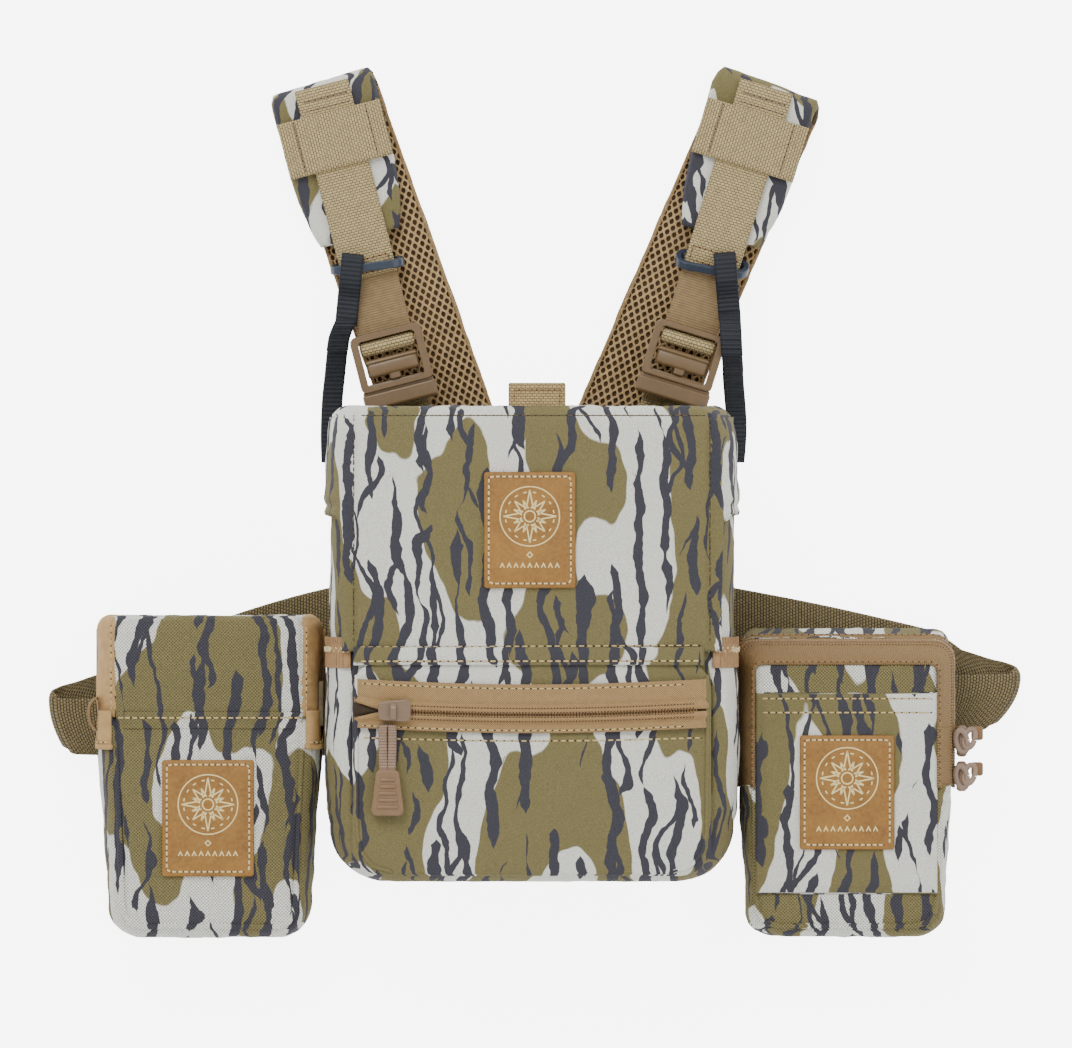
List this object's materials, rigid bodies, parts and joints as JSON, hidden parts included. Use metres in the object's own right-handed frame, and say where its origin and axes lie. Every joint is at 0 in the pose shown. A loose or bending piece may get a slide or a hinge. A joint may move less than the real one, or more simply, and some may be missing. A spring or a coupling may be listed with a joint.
{
  "type": "binocular harness pack",
  "caption": "Chest pack for binoculars on a padded shoulder harness, with a forward-opening lid, a zipped front pocket and two belt pouches on elastic side straps",
  "frame": {"origin": "On the face of the yoke that meets the wearer, behind the middle of the pack; the pack lies on its back on z = 0", "axes": "+X is the width, to the right in the picture, +Y runs from the bottom of the pack to the shoulders, and +Z comes out of the front of the pack"},
  "size_m": [0.4343, 0.3922, 0.0968],
  "materials": {
    "air_mesh": "open tan air mesh",
    "buckle_plastic": "moulded tan plastic",
    "camo_canvas": "coarse camouflage canvas",
    "camo_fabric": "brushed camouflage fabric",
    "dark_plastic": "dark slate plastic",
    "elastic": "ribbed elastic webbing",
    "leather_patch": "tan leather with a foil mark",
    "magnet_steel": "plated magnet",
    "tether_webbing": "ribbed black webbing",
    "webbing": "coyote woven webbing",
    "zip_grip": "moulded tan rubber",
    "zip_tape": "twill zip tape and coil"
  },
  "bodies": {
    "harness": {"back_yoke": "air_mesh", "pack_shell": "camo_fabric", "pack_back_pad": "air_mesh", "front_pocket": "camo_fabric", "front_zip_tape": "zip_tape", "front_zip_coil": "zip_tape", "body_magnet": "magnet_steel", "shoulder_pad_left": "air_mesh", "shoulder_pad_right": "air_mesh", "crossband_left": "webbing", "crossband_right": "webbing", "strap_tab_left": "webbing", "strap_tab_right": "webbing", "front_webbing_left": "webbing", "front_webbing_right": "webbing", "buckle_frame_left": "buckle_plastic", "buckle_frame_right": "buckle_plastic", "buckle_socket_left": "buckle_plastic", "buckle_socket_right": "buckle_plastic", "anchor_webbing_left": "webbing", "anchor_webbing_right": "webbing", "side_strap_left": "elastic", "side_strap_right": "elastic", "side_pocket_left": "camo_fabric", "side_pocket_right": "camo_fabric", "side_hem_left": "elastic", "side_hem_right": "elastic", "tether_strap_left": "tether_webbing", "tether_strap_right": "tether_webbing"},
    "lid": {"lid_hood": "camo_fabric", "lid_pull_tab": "webbing", "lid_patch": "leather_patch", "lid_magnet": "magnet_steel"},
    "front_slider": {"front_zip_slider": "zip_grip"},
    "front_pull": {"front_zip_cord": "zip_grip", "front_zip_grip": "zip_grip"},
    "left_pouch": {"left_pouch_shell": "camo_canvas", "left_pouch_patch": "leather_patch", "left_belt_loop": "webbing"},
    "left_lid": {"left_pouch_lid": "camo_canvas", "left_elastic_loop": "elastic"},
    "right_pouch": {"right_pouch_body": "camo_canvas", "right_belt_loop": "webbing", "right_zip_tape_body": "zip_tape", "right_zip_coil": "zip_tape", "right_pocket_lower": "camo_fabric", "right_pouch_patch": "leather_patch"},
    "right_door": {"right_pouch_door": "camo_canvas", "right_pocket_upper": "camo_fabric"},
    "upper_slider": {"right_slider_upper": "zip_grip"},
    "lower_slider": {"right_slider_lower": "zip_grip"},
    "upper_pull": {"right_pull_upper": "zip_grip"},
    "lower_pull": {"right_pull_lower": "zip_grip"},
    "cam_left": {"buckle_cam_left": "buckle_plastic"},
    "cam_right": {"buckle_cam_right": "buckle_plastic"},
    "keeper_left": {"keeper_ring_left": "dark_plastic", "tether_loop_left": "tether_webbing"},
    "keeper_right": {"keeper_ring_right": "dark_plastic", "tether_loop_right": "tether_webbing"}
  },
  "joints": [
    {"name": "lid_hinge", "type": "hinge", "parent": "harness", "child": "lid", "pos_m": [0, -0.0048, 0.091], "axis": [1, 0, 0], "range_deg": [0, 140]},
    {"name": "front_zip_slide", "type": "slide", "parent": "harness", "child": "front_slider", "axis": [1, 0, 0], "range_m": [-0.008, 0.125]},
    {"name": "front_pull_swing", "type": "hinge", "parent": "front_slider", "child": "front_pull", "pos_m": [-0.0638, -0.0348, 0.0947], "axis": [-1, 0, 0], "range_deg": [0, 50]},
    {"name": "left_pouch_slide", "type": "slide", "parent": "harness", "child": "left_pouch", "axis": [1, 0, 0], "range_m": [-0.02, 0]},
    {"name": "left_lid_hinge", "type": "hinge", "parent": "left_pouch", "child": "left_lid", "pos_m": [-0.14415, -0.033, 0.0605], "axis": [1, 0, 0], "range_deg": [0, 140]},
    {"name": "right_pouch_slide", "type": "slide", "parent": "harness", "child": "right_pouch", "axis": [1, 0, 0], "range_m": [0, 0.02]},
    {"name": "right_door_hinge", "type": "hinge", "parent": "right_pouch", "child": "right_door", "pos_m": [0.14045, -0.037, 0.056], "axis": [1, 0, 0], "range_deg": [0, 75]},
    {"name": "upper_zip_slide", "type": "slide", "parent": "right_pouch", "child": "upper_slider", "axis": [0, 1, 0], "range_m": [0, 0.028]},
    {"name": "lower_zip_slide", "type": "slide", "parent": "right_pouch", "child": "lower_slider", "axis": [0, 1, 0], "range_m": [0, 0.0016]},
    {"name": "upper_pull_swing", "type": "hinge", "parent": "upper_slider", "child": "upper_pull", "pos_m": [0.1952, -0.046, 0.0352], "axis": [0, 0, -1], "range_deg": [0, 60]},
    {"name": "lower_pull_swing", "type": "hinge", "parent": "lower_slider", "child": "lower_pull", "pos_m": [0.1952, -0.062, 0.0352], "axis": [0, 0, -1], "range_deg": [0, 60]},
    {"name": "cam_left_hinge", "type": "hinge", "parent": "harness", "child": "cam_left", "pos_m": [-0.06345, 0.12858, 0.023], "axis": [-0.9686, -0.2487, 0], "range_deg": [0, 45]},
    {"name": "cam_right_hinge", "type": "hinge", "parent": "harness", "child": "cam_right", "pos_m": [0.06848, 0.12977, 0.023], "axis": [-0.9553, 0.2957, 0], "range_deg": [0, 45]},
    {"name": "keeper_left_slide", "type": "slide", "parent": "harness", "child": "keeper_left", "axis": [-0.2487, 0.9686, 0], "range_m": [0, 0.005]},
    {"name": "keeper_right_slide", "type": "slide", "parent": "harness", "child": "keeper_right", "axis": [0.2957, 0.9553, 0], "range_m": [0, 0.005]}
  ]
}
